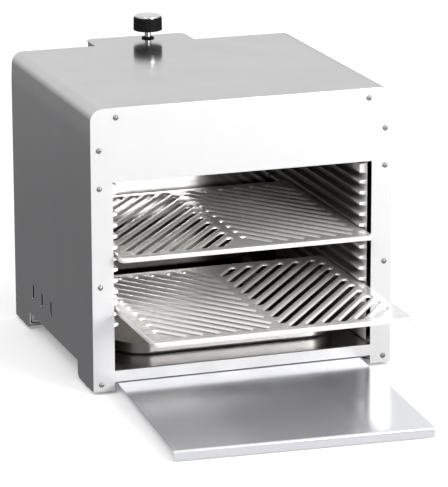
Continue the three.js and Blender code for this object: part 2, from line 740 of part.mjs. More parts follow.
// The knob: a fluted black grip, bored from below for the stem and its flat.
function controlKnob() {
  const { radius, bottom, height } = KNOB;
  const top = bottom + height;
  const profile = [
    [0, bottom],
    [radius - 1, bottom],
    [radius, bottom + 1.2],
    [radius - 0.6, top - 1.2],
    [radius - 1.8, top],
    [0, top],
  ];
  const flutes = 12;
  const cuts = [rodZ(0, CONTROL.y, STEM.radius + GAP, bottom - 1, bottom + 11.5, 16)];
  for (let i = 0; i < flutes; i++) {
    const a = (i / flutes) * Math.PI * 2;
    const x = Math.cos(a) * (radius + 1.2);
    cuts.push(rodZ(x, CONTROL.y + Math.sin(a) * (radius + 1.2), 2, bottom + 2.5, top - 3));
  }
  return combine([turnedZ(profile, 0, CONTROL.y, 36)], cuts);
}

function knobCap() {
  const bottom = KNOB.bottom + KNOB.height + GAP / 3;
  const radius = KNOB.radius - 2;
  const top = bottom + KNOB.capHeight;
  const profile = [[0, bottom], [radius, bottom], [radius, top - 0.8], [radius - 1.2, top], [0, top]];
  const pointer = box(-0.9, 0.9, CONTROL.y - radius, CONTROL.y - radius * 0.45, top - 0.5, top + 1);
  return combine([turnedZ(profile, 0, CONTROL.y, 32)], [pointer]);
}

function knobBezel() {
  const bottom = CABINET.top + GAP;
  const hole = STEM.radius + 1.2;
  const profile = [
    [hole, bottom],
    [BEZEL.radius, bottom],
    [BEZEL.radius, bottom + BEZEL.rim],
    [BEZEL.radius - BEZEL.chamfer, bottom + BEZEL.height],
    [hole, bottom + BEZEL.height],
    [hole, bottom],
  ];
  return turnedZ(profile, 0, CONTROL.y, 32);
}

// Where the supply hose screws on, below the left part of the housing.
function gasInlet() {
  const { x, y, bottom, flange, top } = INLET;
  const thread = turnedZ(
    [[0, bottom], [5.5, bottom], [6.5, bottom + 1], [6.5, flange - 5], [0, flange - 5]],
    x,
    y,
    16,
  );
  const nut = rodZ(x, y, 9, flange - 5.5, flange, 6);
  const neck = rodZ(x, y, 5, flange - 0.5, top);
  return combine([thread, nut, neck]);
}

function inletBracket() {
  const { x, y, flange } = INLET;
  const y0 = CABINET.depth + GAP;
  const z0 = flange + GAP;
  const shelf = box(x - 14, x + 14, y0, y + 12, z0, z0 + 2);
  const upright = box(x - 14, x + 14, y0, y0 + 2, z0, z0 + 22);
  return combine([shelf, upright], [rodZ(x, y, 5.8, z0 - 5, z0 + 5)]);
}

function gasPipe() {
  const { x, y, top } = INLET;
  const end = -VALVE.halfWidth - GAP;
  const z = VALVE.bottom + 12;
  const points = [
    [x, y, top + GAP],
    [x, y, top + 18],
    [x + 1, y, z - 14],
    [x + 14, y, z - 1],
    [end - 10, y, z],
    [end, y, z],
  ];
  return swept(points, 4, 18, 10);
}

// A probe under the back edge of the screen, with its lead back to the valve.
function thermocouple() {
  const radius = 1.5;
  const x = 42;
  const y = CONTROL.y;
  const probeZ = SCREEN.top - SCREEN.sheet - GAP - radius;
  const valveZ = VALVE.bottom + 5;
  const points = [
    [x, BURNER.back - 12, probeZ],
    [x, BURNER.back + 10, probeZ],
    [x, BURNER.back + 50, LEAD_Z],
    [x, REAR.y - 10, LEAD_Z],
    [x - 1, CABINET.depth + 8, LEAD_Z + 1],
    [x - 5, y - 8, LEAD_Z + 8],
    [x - 10, y, valveZ - 9],
    [x - 15, y, valveZ - 1],
    [VALVE.halfWidth + 5, y, valveZ],
    [VALVE.halfWidth + GAP, y, valveZ],
  ];
  return swept(points, radius, 36, 6);
}

// The spark electrode: a bare rod under the screen and a ceramic sleeve under the frame's tab.
function electrode() {
  const { x, radius, rod } = ELECTRODE;
  const y0 = BURNER.back + 2;
  const y1 = y0 + 34;
  const profile = [[0, y0 - 16], [rod, y0 - 16], [rod, y0], [radius, y0], [radius, y1], [0, y1]];
  return turnedY(profile, x, FRAME_BOTTOM - GAP - radius, 12);
}

function ignitionLead() {
  const { x, radius } = ELECTRODE;
  const y0 = BURNER.back + 36 + GAP;
  const y = CONTROL.y;
  const points = [
    [x, y0, FRAME_BOTTOM - GAP - radius],
    [x, y0 + 14, FRAME_BOTTOM - GAP - radius],
    [x, REAR.y - 12, LEAD_Z],
    [x - 1, CABINET.depth + 9, LEAD_Z],
    [x - 7, y + 2, LEAD_Z + 8],
    [x - 11, y + 5, PIEZO.bottom + 6],
    [x - 16, y + 4, PIEZO.top + 2],
    [x - 25, y + 1, PIEZO.top + 14],
    [PIEZO.x, y, PIEZO.top + 9],
    [PIEZO.x, y, PIEZO.top + GAP],
  ];
  return swept(points, 1.6, 40, 6);
}

// The spark generator is clipped to the side of the valve, whose stem trips it.
function piezoIgniter() {
  const { x, radius, bottom, top } = PIEZO;
  const profile = [
    [0, bottom],
    [radius - 1.5, bottom],
    [radius, bottom + 1.5],
    [radius, top - 3],
    [radius - 2.5, top],
    [0, top],
  ];
  return turnedZ(profile, x, CONTROL.y, 16);
}

function buildGasControl() {
  add('valve_housing', valveHousing(), FINISH.casing);
  housingScrewPlaces().forEach(([x, z], i) => {
    add(`housing_screw_${i + 1}`, screw(x, z, CABINET.depth + GAP + SHEET + GAP, -1), FINISH.screw);
  });
  add('gas_valve', gasValve(), FINISH.brass);
  add('valve_bracket', valveBracket(), FINISH.casting);
  add('gas_jet', gasJet(), FINISH.brass);
  add('valve_plunger', valvePlunger(), FINISH.brass);
  add('return_spring', returnSpring(), FINISH.screw);
  add('valve_stem', valveStem(), FINISH.chrome);
  add('control_knob', controlKnob(), FINISH.plastic);
  add('knob_cap', knobCap(), FINISH.chrome);
  add('knob_bezel', knobBezel(), FINISH.plastic);
  add('gas_inlet', gasInlet(), FINISH.brass);
  add('inlet_bracket', inletBracket(), FINISH.casting);
  add('gas_pipe', gasPipe(), FINISH.brass);
  add('thermocouple', thermocouple(), FINISH.brass);
  add('igniter_electrode', electrode(), FINISH.ceramic);
  add('ignition_lead', ignitionLead(), FINISH.rubber);
  add('piezo_igniter', piezoIgniter(), FINISH.plastic);
}

// ---------------------------------------------------------------- whole part

buildCabinet();
buildCookingSpace();
buildBurner();
buildGasControl();

const foremost = TRAY.y - (TRAY.width / 2) * Math.sin(rad(TRAY.skewDeg));
model.position.y = -(foremost + TONGUE.back) / 2;

export default model;
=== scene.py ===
"""Looks of the tabletop top-heat broiler grill: sheet metal pieces, materials, light and camera.

Sizes are in millimetres, measured like the CAD part's own: x from the middle of the cabinet, y
from the front frame's outer face towards the back, z from the table. DESIGN turns them into the
row frame, in metres. Materials, light and camera are in the row frame.
"""

import json
import math

import bmesh
import bpy
from mathutils import Matrix, Vector

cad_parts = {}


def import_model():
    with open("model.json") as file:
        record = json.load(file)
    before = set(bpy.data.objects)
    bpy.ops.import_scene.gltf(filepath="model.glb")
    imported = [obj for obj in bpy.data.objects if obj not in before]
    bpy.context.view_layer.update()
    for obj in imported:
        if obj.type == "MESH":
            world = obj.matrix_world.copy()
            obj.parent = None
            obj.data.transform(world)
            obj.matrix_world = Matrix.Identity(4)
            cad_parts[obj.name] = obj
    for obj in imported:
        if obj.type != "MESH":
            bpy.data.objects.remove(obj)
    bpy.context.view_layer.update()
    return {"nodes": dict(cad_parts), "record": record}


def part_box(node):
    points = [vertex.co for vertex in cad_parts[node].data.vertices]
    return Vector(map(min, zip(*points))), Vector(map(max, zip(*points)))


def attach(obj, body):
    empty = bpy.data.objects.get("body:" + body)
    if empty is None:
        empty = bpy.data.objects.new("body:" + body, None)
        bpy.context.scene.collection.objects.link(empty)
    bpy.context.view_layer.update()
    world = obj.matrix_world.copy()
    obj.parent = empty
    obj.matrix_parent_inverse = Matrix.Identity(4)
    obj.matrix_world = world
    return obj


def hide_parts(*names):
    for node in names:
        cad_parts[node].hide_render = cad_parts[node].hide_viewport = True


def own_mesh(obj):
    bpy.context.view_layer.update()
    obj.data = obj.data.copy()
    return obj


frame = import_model()

# ---------------------------------------------------------------- sizes

MM = 0.001
DESIGN = Matrix.Translation((0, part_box("front_panel")[0].y, 0)) @ Matrix.Scale(MM, 4)

SHEET = 1.5
GAP = 0.3
HALF_WIDTH = 210
DEPTH = 388
BOTTOM, TOP = 4, 386
CORNER = 16
SIDE_LEAN, SIDE_LEAN_Z, SIDE_LEAN_RADIUS = 1.5, 348, 300
FLANGE_WIDTH, FLANGE_CORNER = 27, 6
LEDGE_WIDTH = 23.5

OPENING_HALF, OPENING_BOTTOM, OPENING_TOP = 180.5, 31, 287
RAIL_BOTTOM = 16
SIDE_CUT_FRONT, SIDE_CUT_BACK, SIDE_CUT_TOP = 75, 314, 27
SIDE_CUT_CHAMFER = 6
FOOT_X, FOOT_FRONT, FOOT_REAR = 196, 42, 346
FOOT_HOLE_RADIUS, SCREW_HOLE_RADIUS, KNOB_HOLE_RADIUS = 3.7, 2.2, 7
VENT_YS = (204, 248.5, 293)
VENT_Z, VENT_WIDTH, VENT_HEIGHT = 62, 7, 22
FRONT_SCREWS = ((175.5, 373.5), (199, 331), (199, 280), (199, 147), (199, 14))
REAR_SLOT_COUNT, REAR_SLOT_X, REAR_SLOT_Z, REAR_SLOT_PITCH = 5, 70, 80, 26
REAR_SLOT_HALF, REAR_SLOT_RADIUS = 17, 3
TUBE_Z, TUBE_HOLE_RADIUS = 334, 14
LEAD_HOLE = (34, 288, 60, 300)
BACK_OVERLAP = 4

TONGUE_LEFT, TONGUE_RIGHT, TONGUE_BACK, TONGUE_CORNER = -87, 60, 438, 12
HOUSING_BOTTOM, HOUSING_TOP = 246, 384.2
HOUSING_SCREW_Z = (262, 366)
HOUSING_FLANGE = 13
HOUSING_INSET = 1

KNOB_Y = 417
KNOB_BOTTOM, KNOB_TOP, KNOB_RADIUS = 398, 417, 20.5
KNOB_PUSH, KNOB_BORE_DEPTH = 3, 11
STEM_BOTTOM, STEM_RADIUS, COLLAR_RADIUS = 334, 4.4, 7.5
FLUTE_COUNT, FLUTE_DEPTH = 24, 0.45
COIL_BOTTOM, COIL_TOP, COIL_RADIUS, COIL_WIRE, COIL_TURNS = 347, 364, 6, 0.7, 5

GUIDE_X, GUIDE_FRONT, GUIDE_BACK, GUIDE_TOP = 178.5, 14, 375, 300
GUIDE_SHEET = 1.2
FLOOR_TOP = 31
RIB_COUNT, RIB_FIRST, RIB_PITCH, RIB_DEPTH = 12, 90, 15, 9.5
WIDE_RIB_Z = 274

GRATE_WIDTH, GRATE_DEPTH = 354, 325
GRATE_LIP, LIP_BEND = 6.2, 2.6
GRATE_BORDER, GRATE_DIVIDER, GRATE_CORNER = 17, 7, 8
SLOT_WIDTH, SLOT_PITCH, SLOT_ANGLE, SLOT_DRAW = 8.6, 18, 52, 3
SHORTEST_SLOT = 14

PAN_HALF, PAN_FRONT, PAN_DEPTH, PAN_CORNER = 155, 54, 280, 43
TRAY_WIDTH, TRAY_LENGTH, TRAY_TOP, TRAY_LIP = 342, 355, 15, 13.5
TRAY_X, TRAY_Y, TRAY_SKEW = -22.8, -300, 3.2

# ---------------------------------------------------------------- outlines


def rounded(corners, steps=6, closed=True):
    """An outline through (x, y, radius) corners, with an arc at each corner that has a radius."""
    points = []
    count = len(corners)
    for i, (x, y, radius) in enumerate(corners):
        corner = Vector((x, y))
        at_end = not closed and i in (0, count - 1)
        if radius <= 0 or at_end:
            points.append(corner)
            continue
        before = (Vector(corners[i - 1][:2]) - corner).normalized()
        after = (Vector(corners[(i + 1) % count][:2]) - corner).normalized()
        half = before.angle(after) / 2
        centre = corner + (before + after).normalized() * (radius / math.sin(half))
        start = corner + before * (radius / math.tan(half)) - centre
        end = corner + after * (radius / math.tan(half)) - centre
        first = math.atan2(start.y, start.x)
        sweep = (math.atan2(end.y, end.x) - first + math.pi) % (2 * math.pi) - math.pi
        for k in range(steps + 1):
            angle = first + sweep * k / steps
            points.append(centre + radius * Vector((math.cos(angle), math.sin(angle))))
    return points


def rectangle(x0, y0, x1, y1, radius=0, steps=6):
    return rounded([(x0, y0, radius), (x1, y0, radius), (x1, y1, radius), (x0, y1, radius)], steps)


def circle(x, y, radius, steps=20):
    turns = [2 * math.pi * k / steps for k in range(steps)]
    return [Vector((x + radius * math.cos(a), y + radius * math.sin(a))) for a in turns]


def stadium(x, y, angle, half_length, radius, steps=6):
    """A slot with round ends; half_length runs from its middle to the centre of an end."""
    points = []
    along = Vector((math.cos(angle), math.sin(angle)))
    for end in (1, -1):
        centre = Vector((x, y)) + along * half_length * end
        first = angle - end * math.pi / 2
        for k in range(steps + 1):
            turn = first + math.pi * k / steps
            points.append(centre + radius * Vector((math.cos(turn), math.sin(turn))))
    return points


def signed_area(points):
    pairs = zip(points, points[1:] + points[:1])
    return sum(a.x * b.y - b.x * a.y for a, b in pairs) / 2


def wound(points, counterclockwise):
    """The outline, reversed if it runs the other way round."""
    points = [Vector(p) for p in points]
    return points if (signed_area(points) > 0) == counterclockwise else points[::-1]


def inset(points, distance):
    """Moves an outline to its left by a distance, with mitred corners."""
    shifted = []
    for i, point in enumerate(points):
        before = (point - points[i - 1]).normalized()
        after = (points[(i + 1) % len(points)] - point).normalized()
        n1 = Vector((-before.y, before.x))
        n2 = Vector((-after.y, after.x))
        shifted.append(point + (n1 + n2) * (distance / (1 + n1.dot(n2))))
    return shifted


# ---------------------------------------------------------------- mesh building


def bridge(bm, low, high):
    """Quads between two closed loops of the same length."""
    for i in range(len(low)):
        j = (i + 1) % len(low)
        bm.faces.new((low[i], low[j], high[j], high[i]))


def edge_profile(thickness, bevel, steps=2):
    """(inset, height) pairs up the rounded edge of a plate."""
    arc = [math.pi / 2 * k / steps for k in range(steps + 1)]
    low = [(bevel * (1 - math.sin(a)), bevel * (1 - math.cos(a))) for a in arc]
    high = [(offset, thickness - height) for offset, height in reversed(low)]
    return low + high


def drawn_profile(thickness, radius, steps=4):
    """(inset, height) pairs round the edge of a hole that is drawn down through the sheet."""
    turns = [math.pi / 2 * k / steps for k in range(steps + 1)]
    pairs = []
    for r, angles in ((radius - thickness, reversed(turns)), (radius, turns)):
        pairs += [
            (radius - r * math.cos(a), thickness - radius + r * math.sin(a)) for a in angles
        ]
    return pairs


def plate(outlines, thickness, bevel, drawn=0):
    """A flat plate from z = 0 up. The first outline is its rim and the others are its holes.

    Where drawn is a radius, the edges of the holes are bent down with that radius.
    """
    bm = bmesh.new()
    rims = {0: [], 1: []}
    for number, outline in enumerate(outlines):
        points = wound(outline, number == 0)
        profile = edge_profile(thickness, bevel)
        if drawn and number > 0:
            profile = drawn_profile(thickness, drawn)
        loops = []
        for distance, height in profile:
            loops.append([bm.verts.new((p.x, p.y, height)) for p in inset(points, distance)])
        for low, high in zip(loops, loops[1:]):
            bridge(bm, low, high)
        for key, loop in ((0, loops[0]), (1, loops[-1])):
            pairs = zip(loop, loop[1:] + loop[:1])
            rims[key] += [bm.edges.get(pair) for pair in pairs]
    for edges in rims.values():
        bmesh.ops.triangle_fill(bm, use_beauty=True, use_dissolve=False, edges=edges)
    return bm


class Section:
    """The middle line of a bent sheet, drawn in two of the three axes."""

    def __init__(self, corners, steps=8):
        self.points = rounded(corners, steps, closed=False)
        self.lengths = [0.0]
        for a, b in zip(self.points, self.points[1:]):
            self.lengths.append(self.lengths[-1] + (b - a).length)
        self.normals = []
        for i in range(len(self.points)):
            tangents = []
            if i > 0:
                tangents.append((self.points[i] - self.points[i - 1]).normalized())
            if i < len(self.points) - 1:
                tangents.append((self.points[i + 1] - self.points[i]).normalized())
            mean = sum(tangents, Vector((0, 0))) / len(tangents)
            self.normals.append(Vector((-mean.y, mean.x)) / mean.length_squared)

    def place(self, distance, height):
        """The point at a distance along the line and a height to its left."""
        last = len(self.points) - 2
        i = max((k for k in range(last + 1) if self.lengths[k] <= distance + 1e-6), default=0)
        share = (distance - self.lengths[i]) / (self.lengths[i + 1] - self.lengths[i])
        point = self.points[i].lerp(self.points[i + 1], share)
        return point + self.normals[i].lerp(self.normals[i + 1], share) * height


def bent_plate(section, outlines, thickness, to_3d, bevel):
    """A sheet cut from its flat pattern, whose x runs along the section, and then bent."""
    bm = plate(outlines, thickness, bevel)
    for length in section.lengths[1:-1]:
        geometry = bm.verts[:] + bm.edges[:] + bm.faces[:]
        bmesh.ops.bisect_plane(
            bm, geom=geometry, plane_co=(length, 0, 0), plane_no=(1, 0, 0), dist=1e-5
        )
    for vert in bm.verts:
        across = section.place(vert.co.x, vert.co.z - thickness / 2)
        vert.co = to_3d(across, vert.co.y)
    return bm


def turned(profile, segments, ripple=None):
    """A body turned round the z axis. ripple changes a radius by its height and angle."""
    bm = bmesh.new()
    rings = []
    for radius, height in profile:
        if radius == 0:
            rings.append([bm.verts.new((0, 0, height))])
            continue
        ring = []
        for k in range(segments):
            angle = 2 * math.pi * k / segments
            r = radius + (ripple(radius, height, angle) if ripple else 0)
            ring.append(bm.verts.new((r * math.cos(angle), r * math.sin(angle), height)))
        rings.append(ring)
    for low, high in zip(rings, rings[1:]):
        if len(low) == 1 or len(high) == 1:
            tip = low[0] if len(low) == 1 else high[0]
            rim = high if len(low) == 1 else low
            for i in range(segments):
                bm.faces.new((tip, rim[i], rim[(i + 1) % segments]))
        else:
            bridge(bm, low, high)
    return bm


def lofted(loops, closed=False):
    """A surface through loops of (x, y, z) points. Its ends are capped unless it is closed."""
    bm = bmesh.new()
    rings = [[bm.verts.new(p) for p in loop] for loop in loops]
    for low, high in zip(rings, rings[1:]):
        bridge(bm, low, high)
    if closed:
        bridge(bm, rings[-1], rings[0])
    else:
        bm.faces.new(rings[0])
        bm.faces.new(rings[-1])
    return bm


def moved(bm, matrix):
    bm.transform(matrix)
    return bm


def upright(bm):
    """Turns a plate drawn in x and y so that it is drawn in x and z, with its thickness along y."""
    for vert in bm.verts:
        vert.co = (vert.co.x, vert.co.z, vert.co.y)
    return bm


def piece(name, parts, slot, body="cabinet", stands_for=(), smooth=40):
    """Joins the parts into one object that rides on a body and stands for CAD nodes.

    Edges sharper than smooth, in degrees, stay crisp.
    """
    mesh = bpy.data.meshes.new(name)
    whole = bmesh.new()
    for bm in parts:
        part = bpy.data.meshes.new("part")
        bm.to_mesh(part)
        bm.free()
        whole.from_mesh(part)
        bpy.data.meshes.remove(part)
    bmesh.ops.remove_doubles(whole, verts=whole.verts, dist=1e-4)
    bmesh.ops.recalc_face_normals(whole, faces=whole.faces)
    whole.transform(DESIGN)
    whole.to_mesh(mesh)
    whole.free()
    mesh.shade_smooth()
    mesh.set_sharp_from_angle(angle=math.radians(smooth))
    obj = bpy.data.objects.new(name, mesh)
    bpy.context.scene.collection.objects.link(obj)
    obj.data.materials.append(MATERIALS[slot])
    weighted = obj.modifiers.new("weighted", "WEIGHTED_NORMAL")
    weighted.keep_sharp = True
    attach(obj, body)
    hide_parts(*stands_for)
    return obj


# ---------------------------------------------------------------- materials

# In metres, except for the scale, which is in noise cells to a metre.
SHEET_GRAIN_SCALE, SHEET_GRAIN_DEPTH = 2600, 0.00004
EDGE_WIDTH = 0.0006
FLAME_HOLE_PITCH = 0.0032


def node(tree, kind, inputs=None, **settings):
    """Adds a shader node. An input, by name or number, is a value or a socket to link from."""
    made = tree.nodes.new(kind)
    for key, value in settings.items():
        setattr(made, key, value)
    for key, value in (inputs or {}).items():
        if isinstance(value, bpy.types.NodeSocket):
            tree.links.new(value, made.inputs[key])
        else:
            made.inputs[key].default_value = value
    return made


def surface(name):
    material = bpy.data.materials.new(name)
    material.use_nodes = True
    tree = material.node_tree
    return material, tree, tree.nodes["Principled BSDF"]


def noise(tree, scale, stretch=(1, 1, 1), detail=3.0, rough=0.55):
    """Noise in the object's own metres, drawn out along the axes with a small stretch."""
    coords = node(tree, "ShaderNodeTexCoord")
    mapping = node(
        tree, "ShaderNodeMapping", {"Vector": coords.outputs["Object"], "Scale": stretch}
    )
    inputs = {"Vector": mapping.outputs[0], "Scale": scale, "Detail": detail, "Roughness": rough}
    return node(tree, "ShaderNodeTexNoise", inputs).outputs["Fac"]


def ranged(tree, value, low, high, to_low, to_high):
    inputs = {
        "Value": value,
        "From Min": low,
        "From Max": high,
        "To Min": to_low,
        "To Max": to_high,
    }
    return node(tree, "ShaderNodeMapRange", inputs).outputs["Result"]


def mixed(tree, factor, a, b):
    """A colour between a and b."""
    inputs = {0: factor, 6: a, 7: b}
    return node(tree, "ShaderNodeMix", inputs, data_type="RGBA").outputs[2]


def math_node(tree, operation, a, b):
    return node(tree, "ShaderNodeMath", {0: a, 1: b}, operation=operation).outputs[0]


def edge_mask(tree, radius):
    """1 on the sharp edges and 0 on the flats."""
    soft = node(tree, "ShaderNodeBevel", {"Radius": radius}, samples=4).outputs[0]
    hard = node(tree, "ShaderNodeNewGeometry").outputs["Normal"]
    dot = node(tree, "ShaderNodeVectorMath", {0: soft, 1: hard}, operation="DOT_PRODUCT")
    return ranged(tree, dot.outputs["Value"], 0.995, 0.9, 0, 1)


def bumped(tree, shader, height, strength, distance):
    inputs = {"Height": height, "Strength": strength, "Distance": distance}
    tree.links.new(node(tree, "ShaderNodeBump", inputs).outputs[0], shader.inputs["Normal"])


def steel(name, color, smudged, roughness, grain=(1, 1, 1), metallic=1.0, bump=0.08):
    """Stainless sheet: fine rolling grain, soft smudges, and a painted highlight that makes the
    sharp edges a little brighter.
    """
    material, tree, shader = surface(name)
    lines = noise(tree, SHEET_GRAIN_SCALE, grain, 2)
    smudges = noise(tree, 14, detail=4)
    base = mixed(tree, ranged(tree, smudges, 0.35, 0.7, 0, 1), color, smudged)
    # Painted highlight: the sharp edges get a lighter copy of the sheet's colour.
    bright = (*[min(1, c * 1.12) for c in color[:3]], 1)
    edge_highlighted = mixed(tree, edge_mask(tree, EDGE_WIDTH), base, bright)
    tree.links.new(edge_highlighted, shader.inputs["Base Color"])
    shader.inputs["Metallic"].default_value = metallic
    streaks = ranged(tree, lines, 0.3, 0.7, *roughness)
    patchy = ranged(tree, smudges, 0.3, 0.75, -0.01, 0.03)
    tree.links.new(math_node(tree, "ADD", streaks, patchy), shader.inputs["Roughness"])
    bumped(tree, shader, lines, bump, SHEET_GRAIN_DEPTH)
    return material


def heat_tint_and_shade_steel(name, color, tint, roughness, tint_span, grain=(1, 1, 1), metallic=1.0):
    """Stainless sheet whose colour turns to the tint along an axis: heat tint near the burner, and
    painted shade (with painted light at the guides' fronts) on the back wall, side guides and drip
    pan.

    The fifth argument is the axis, the place in metres where the tint starts and the place where it
    is full.
    """
    axis, low, high = tint_span
    material, tree, shader = surface(name)
    lines = noise(tree, SHEET_GRAIN_SCALE, grain, 2)
    clouds = noise(tree, 16, detail=5, rough=0.6)
    coords = node(tree, "ShaderNodeTexCoord")
    axes = node(tree, "ShaderNodeSeparateXYZ", {0: coords.outputs["Object"]})
    spread = (high - low) / 5
    cloudy = ranged(tree, clouds, 0.2, 0.8, -spread, spread)
    place = math_node(tree, "ADD", axes.outputs[axis], cloudy)
    # The colour turns to the tint along the axis: heat tint on the inner and burner steel, painted
    # shade on the back wall, guides and pan.
    tinted = mixed(tree, ranged(tree, place, low, high, 0, 1), color, tint)
    tree.links.new(tinted, shader.inputs["Base Color"])
    shader.inputs["Metallic"].default_value = metallic
    streaks = ranged(tree, lines, 0.3, 0.7, *roughness)
    patchy = ranged(tree, clouds, 0.3, 0.7, -0.01, 0.04)
    tree.links.new(math_node(tree, "ADD", streaks, patchy), shader.inputs["Roughness"])
    bumped(tree, shader, lines, 0.08, SHEET_GRAIN_DEPTH)
    return material


def cast_metal(name, color, dark, roughness):
    """Turned or cast metal with a fine grain and darker stains."""
    material, tree, shader = surface(name)
    grain = noise(tree, 1500)
    stains = noise(tree, 60, detail=4)
    base = mixed(tree, ranged(tree, stains, 0.4, 0.7, 0, 1), color, dark)
    tree.links.new(base, shader.inputs["Base Color"])
    shader.inputs["Metallic"].default_value = 1
    tree.links.new(ranged(tree, grain, 0.3, 0.7, *roughness), shader.inputs["Roughness"])
    bumped(tree, shader, grain, 0.2, 0.00008)
    return material


def moulded(name, color, worn_color, roughness, grain_scale=2200, bump=0.25):
    """Moulded plastic or rubber with a fine spark-eroded texture and paler edges."""
    material, tree, shader = surface(name)
    grain = noise(tree, grain_scale, detail=2)
    patches = noise(tree, 45)
    patchy = ranged(tree, patches, 0.35, 0.65, 0, 1)
    worn = math_node(tree, "MULTIPLY", edge_mask(tree, EDGE_WIDTH), patchy)
    tree.links.new(mixed(tree, worn, color, worn_color), shader.inputs["Base Color"])
    tree.links.new(ranged(tree, patches, 0.3, 0.7, *roughness), shader.inputs["Roughness"])
    shader.inputs["Specular IOR Level"].default_value = 0.1
    bumped(tree, shader, grain, bump, 0.0001)
    return material


def ceramic(name):
    """Porous fired ceramic with the burner's fine grid of flame holes."""
    material, tree, shader = surface(name)
    coords = node(tree, "ShaderNodeTexCoord")
    axes = node(tree, "ShaderNodeSeparateXYZ", {0: coords.outputs["Object"]})
    waves = []
    for axis in ("X", "Y"):
        phase = math_node(tree, "MULTIPLY", axes.outputs[axis], 2 * math.pi / FLAME_HOLE_PITCH)
        waves.append(math_node(tree, "COSINE", phase, 0))
    holes = ranged(tree, math_node(tree, "MULTIPLY", *waves), 0.35, 0.6, 0, 1)
    clouds = noise(tree, 30, detail=5)
    body = mixed(tree, clouds, (0.62, 0.5, 0.36, 1), (0.86, 0.79, 0.66, 1))
    # Painted shade: the flame holes are painted near black, as the shade inside them.
    color = mixed(tree, holes, body, (0.12, 0.08, 0.05, 1))
    tree.links.new(color, shader.inputs["Base Color"])
    tree.links.new(ranged(tree, clouds, 0.3, 0.7, 0.8, 0.95), shader.inputs["Roughness"])
    bumped(tree, shader, math_node(tree, "SUBTRACT", clouds, holes), 0.6, 0.0008)
    return material


ALONG_Y = (1, 0.012, 1)
ALONG_X = (0.012, 1, 1)

MATERIALS = {
    "casing_steel": steel(
        "casing_steel", (0.6, 0.6, 0.61, 1), (0.57, 0.57, 0.58, 1), (0.11, 0.16), ALONG_Y
    ),
    "front_steel": steel(
        "front_steel", (0.47, 0.47, 0.475, 1), (0.455, 0.455, 0.46, 1), (0.4, 0.48),
        ALONG_X, metallic=0.3,
    ),
    "inner_steel": heat_tint_and_shade_steel(
        "inner_steel", (0.56, 0.55, 0.54, 1), (0.4, 0.34, 0.28, 1), (0.16, 0.24),
        ("Z", 0.2, 0.34), ALONG_Y,
    ),
    # Painted shade: the back wall is painted nearly black below the upper grate's level, where the
    # grates shade it, and plain steel above.
    "back_steel": heat_tint_and_shade_steel(
        "back_steel", (0.1, 0.096, 0.09, 1), (0.56, 0.55, 0.54, 1), (0.06, 0.1),
        ("Z", 0.173, 0.179), ALONG_X,
    ),
    # Painted light and shade: the side guides are painted nearly white towards the front and dark
    # further back in the cavity.
    "guide_steel": heat_tint_and_shade_steel(
        "guide_steel", (0.95, 0.95, 0.95, 1), (0.17, 0.15, 0.13, 1), (0.26, 0.36),
        ("Y", -0.044, -0.014), ALONG_Y, metallic=0.5,
    ),
    # Painted shade: the drip pan is painted dark grey for the shade under the grates, turning
    # darker and browner towards the back.
    "pan_steel": heat_tint_and_shade_steel(
        "pan_steel", (0.2, 0.195, 0.19, 1), (0.16, 0.14, 0.12, 1), (0.24, 0.34),
        ("Y", -0.008, 0.016), ALONG_X, metallic=0.9,
    ),
    "grate_steel": steel(
        "grate_steel", (0.8, 0.79, 0.78, 1), (0.76, 0.75, 0.73, 1), (0.2, 0.28),
        ALONG_X, metallic=0.62,
    ),
    "tray_steel": steel(
        "tray_steel", (0.76, 0.765, 0.8, 1), (0.73, 0.735, 0.77, 1), (0.13, 0.17),
        ALONG_Y, metallic=0.78, bump=0.03,
    ),
    "burner_steel": heat_tint_and_shade_steel(
        "burner_steel", (0.5, 0.47, 0.43, 1), (0.3, 0.2, 0.15, 1), (0.35, 0.5),
        ("Z", 0.28, 0.34),
    ),
    "ceramic": ceramic("ceramic"),
    "gas_brass": cast_metal("gas_brass", (0.62, 0.45, 0.18, 1), (0.4, 0.27, 0.1, 1), (0.25, 0.42)),
    "chrome_trim": steel("chrome_trim", (0.8, 0.8, 0.81, 1), (0.74, 0.74, 0.76, 1), (0.06, 0.16)),
    "black_plastic": moulded(
        "black_plastic", (0.003, 0.003, 0.0035, 1), (0.012, 0.012, 0.012, 1), (0.55, 0.65)
    ),
    "lead_rubber": moulded(
        "lead_rubber", (0.015, 0.015, 0.015, 1), (0.05, 0.05, 0.05, 1), (0.6, 0.75)
    ),
    "foot_rubber": moulded(
        "foot_rubber", (0.016, 0.016, 0.017, 1), (0.07, 0.07, 0.07, 1), (0.65, 0.8),
        grain_scale=1400, bump=0.4,
    ),
    "screw_steel": steel("screw_steel", (0.3, 0.3, 0.31, 1), (0.24, 0.24, 0.25, 1), (0.25, 0.35)),
}

# ---------------------------------------------------------------- cabinet


def screw_hole(x, z):
    return circle(x, z, SCREW_HOLE_RADIUS, 12)


